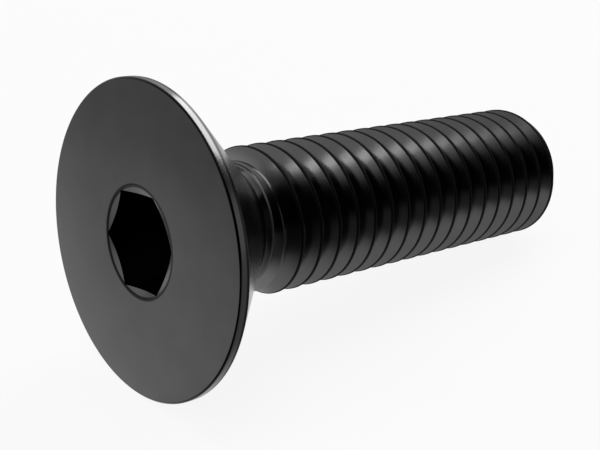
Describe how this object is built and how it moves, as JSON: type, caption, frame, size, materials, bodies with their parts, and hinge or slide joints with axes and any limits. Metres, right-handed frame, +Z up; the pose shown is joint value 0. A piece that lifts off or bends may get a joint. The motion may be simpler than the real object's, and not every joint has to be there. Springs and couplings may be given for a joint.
{
  "type": "countersunk socket screw",
  "caption": "Black countersunk machine screw for flush fastening: flat head with a hexagon socket, necked shank and right-hand thread.",
  "frame": {"origin": "middle of the laid screw's box, on the plane that it rests on", "axes": "+X from the head to the tip, seen from above; +Z up; the screw's own axis slopes down towards the tip by 8.34 degrees"},
  "size_m": [0.0188, 0.01, 0.0099],
  "materials": {
    "black_oxide_steel": "satin black oxide"
  },
  "bodies": {
    "root": {"screw": "black_oxide_steel"}
  },
  "joints": []
}
